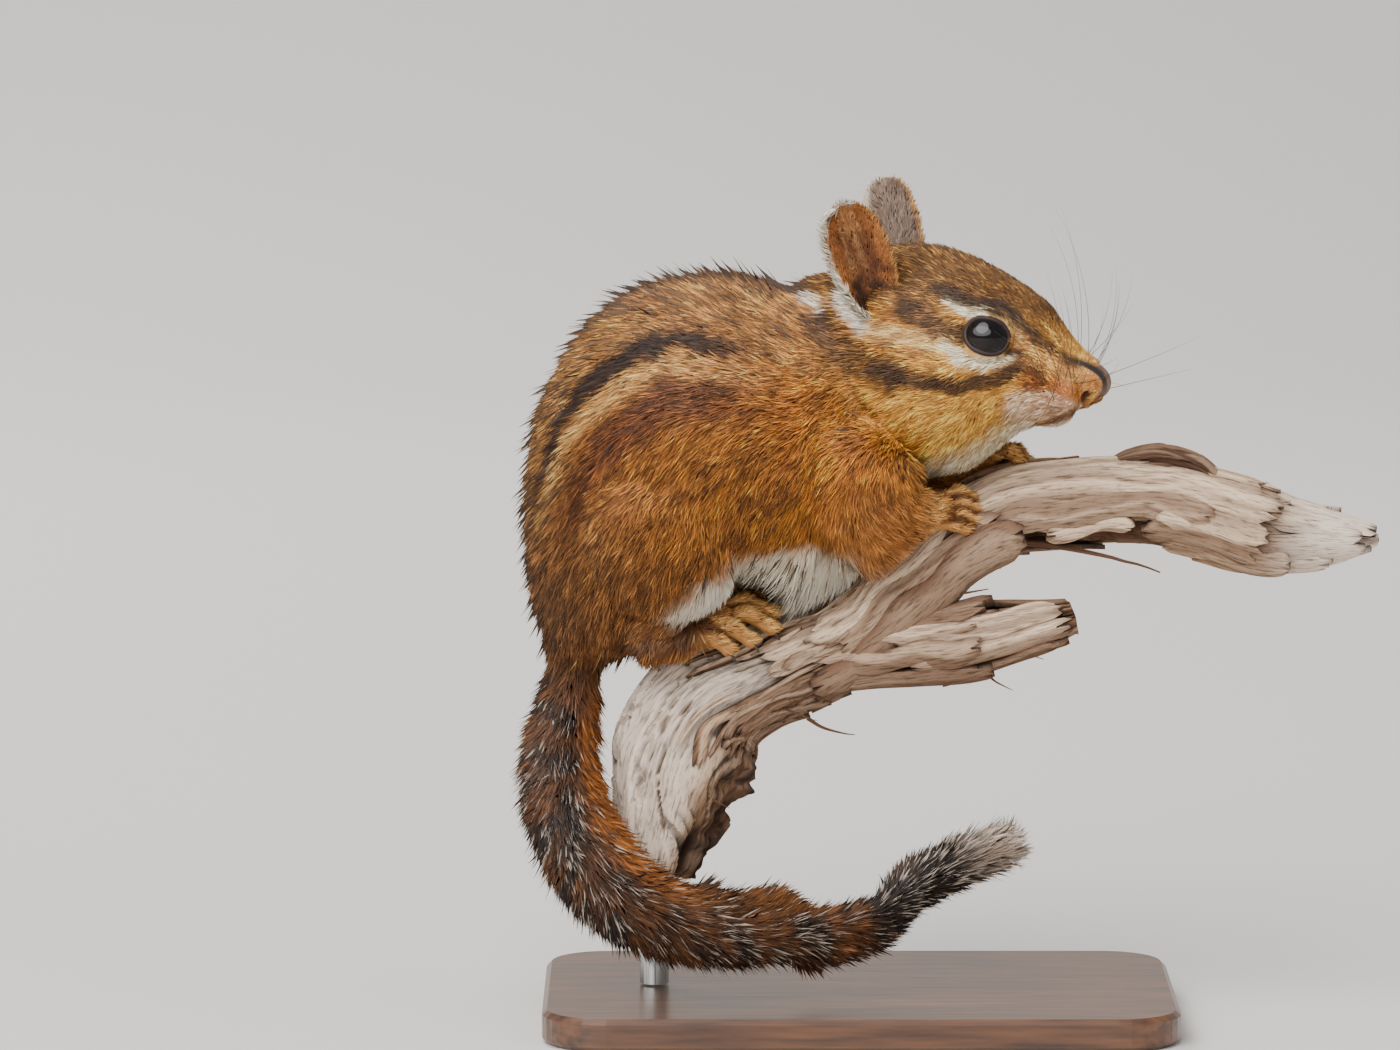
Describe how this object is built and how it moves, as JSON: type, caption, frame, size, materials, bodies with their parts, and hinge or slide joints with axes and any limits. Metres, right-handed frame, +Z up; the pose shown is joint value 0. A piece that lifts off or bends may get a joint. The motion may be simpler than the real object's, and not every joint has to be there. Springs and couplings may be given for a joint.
{
  "type": "chipmunk",
  "caption": "Life-size still chipmunk crouched on a short length of weathered branch, head turned a little and tail curled forward, on a plain display stand.",
  "frame": {"origin": "centre of the stand base's underside", "axes": "+X the way the chipmunk faces, +Y its left side, +Z up"},
  "size_m": [0.1324, 0.06, 0.1272],
  "materials": {
    "coat": "short agouti fur in brown, ochre and cream with dark stripes",
    "tail_coat": "long black fur with cream tips over rust orange",
    "ear_skin": "thin dark skin under very short fur",
    "paw_skin": "tan short-haired toes with dark claws",
    "eye": "wet, near-black and highly glossy",
    "weathered_wood": "dry, silver-grey, deeply grained and cracked",
    "stand_wood": "dark satin varnish",
    "stand_steel": "brushed"
  },
  "bodies": {
    "root": {"stand_base": "stand_wood", "stand_rod": "stand_steel", "perch_lower": "weathered_wood", "perch_middle": "weathered_wood", "perch_end": "weathered_wood", "perch_prong": "weathered_wood", "eye_right": "eye", "eye_left": "eye", "forepaw_right": "paw_skin", "forepaw_left": "paw_skin", "hindfoot_right": "paw_skin", "hindfoot_left": "paw_skin", "foreleg_right": "coat", "foreleg_left": "coat", "hindleg_right": "coat", "hindleg_left": "coat", "ear_right": "ear_skin", "ear_left": "ear_skin", "tail_root": "tail_coat", "tail_upper": "tail_coat", "tail_bend": "tail_coat", "tail_lower": "tail_coat", "tail_tip": "tail_coat", "torso": "coat", "neck": "coat", "head": "coat"}
  },
  "joints": []
}
